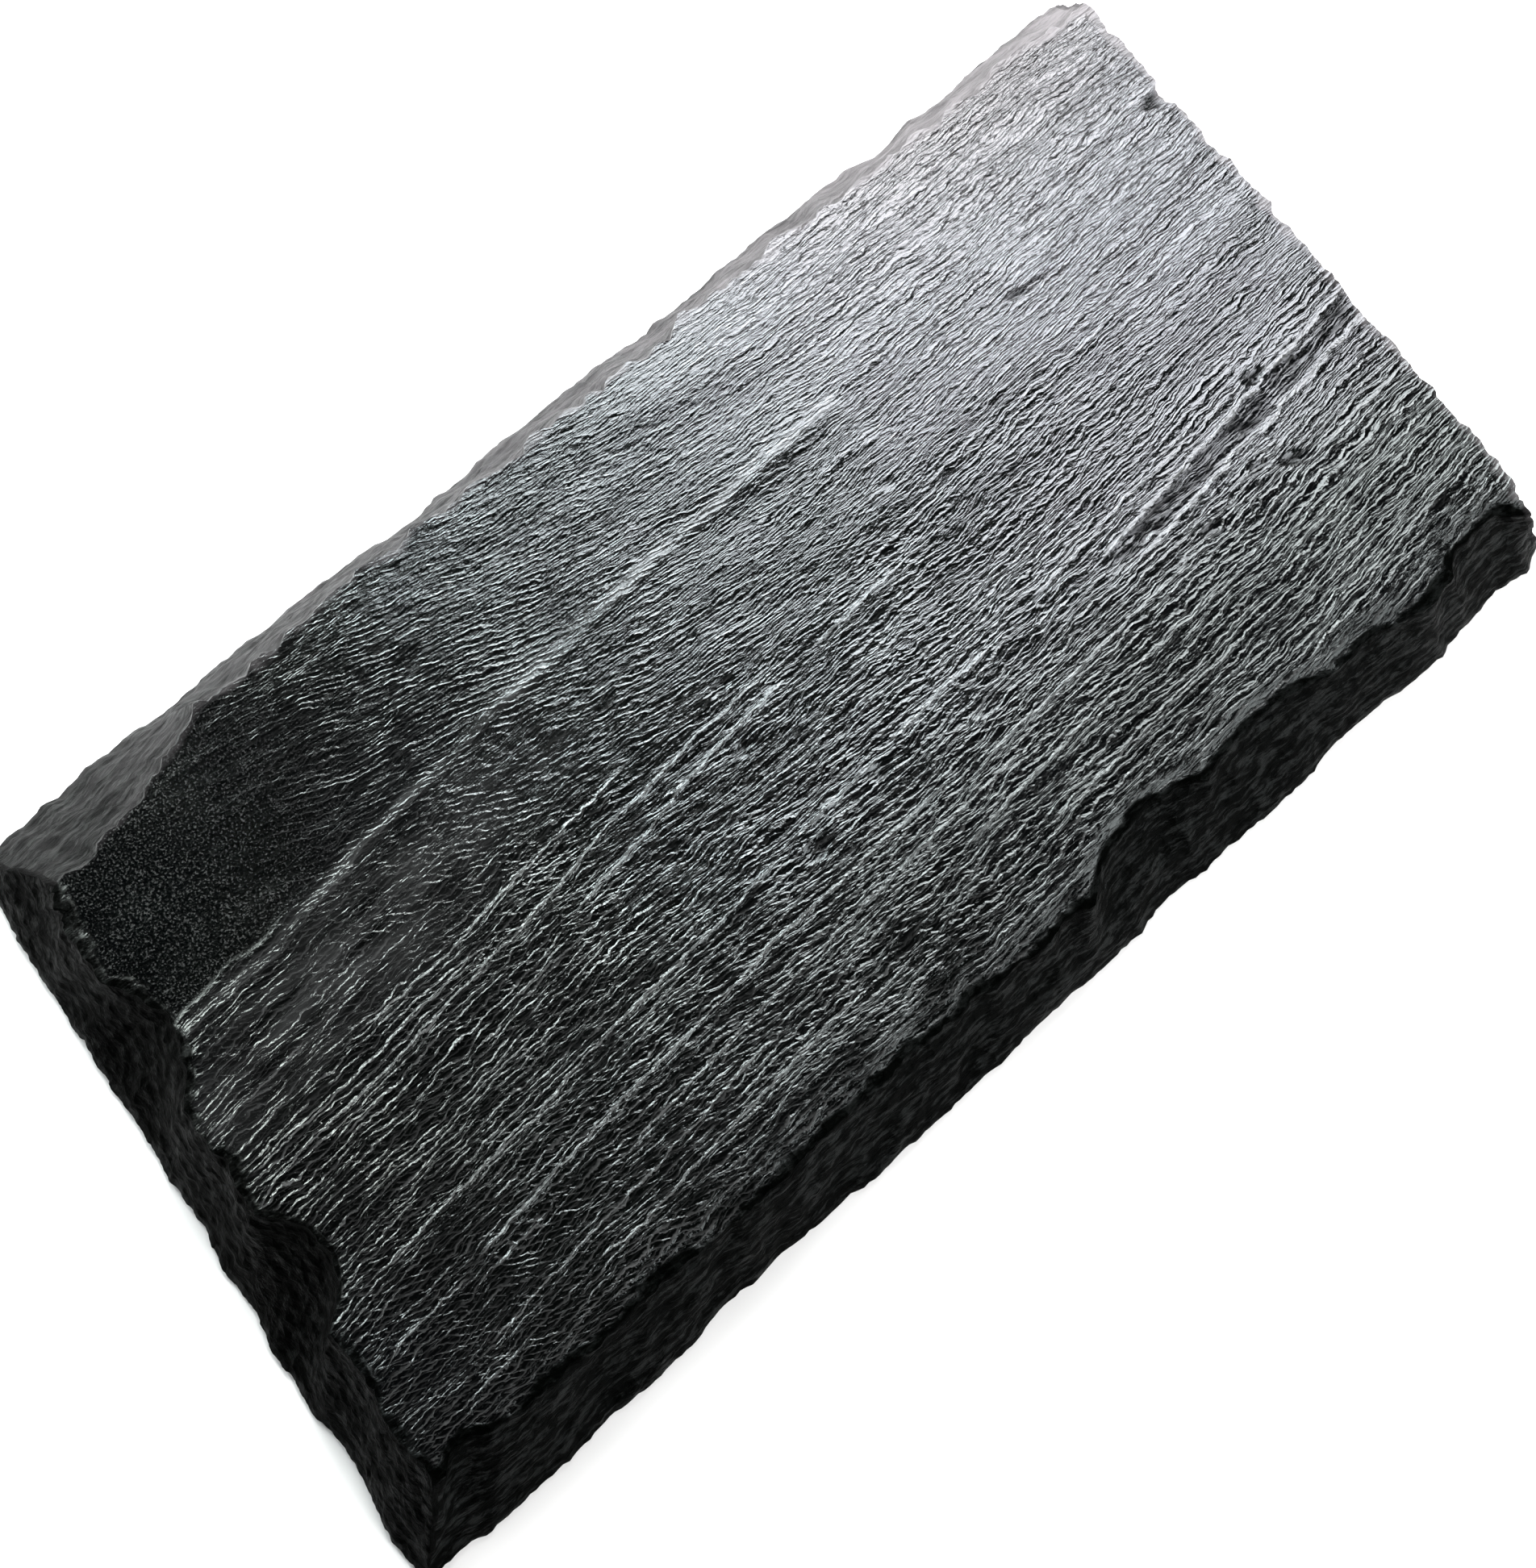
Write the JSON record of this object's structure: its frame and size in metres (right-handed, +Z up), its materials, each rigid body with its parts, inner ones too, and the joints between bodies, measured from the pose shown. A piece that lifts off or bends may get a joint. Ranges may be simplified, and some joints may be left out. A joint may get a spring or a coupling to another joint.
{
  "type": "slate slab",
  "caption": "Riven slate slab with split layers along its top face and hand-chipped sloping sides; it rests flat as a board, plinth or display base.",
  "frame": {"origin": "middle of the slab's box, on the plane of its flat foot", "axes": "+X along the slab's length, +Y towards its back long side, +Z up out of the riven top face"},
  "size_m": [0.3194, 0.1658, 0.02],
  "materials": {
    "slate": "riven, dry, satin, dark blue-grey with chipped edges"
  },
  "bodies": {
    "root": {"slate_slab": "slate"}
  },
  "joints": []
}
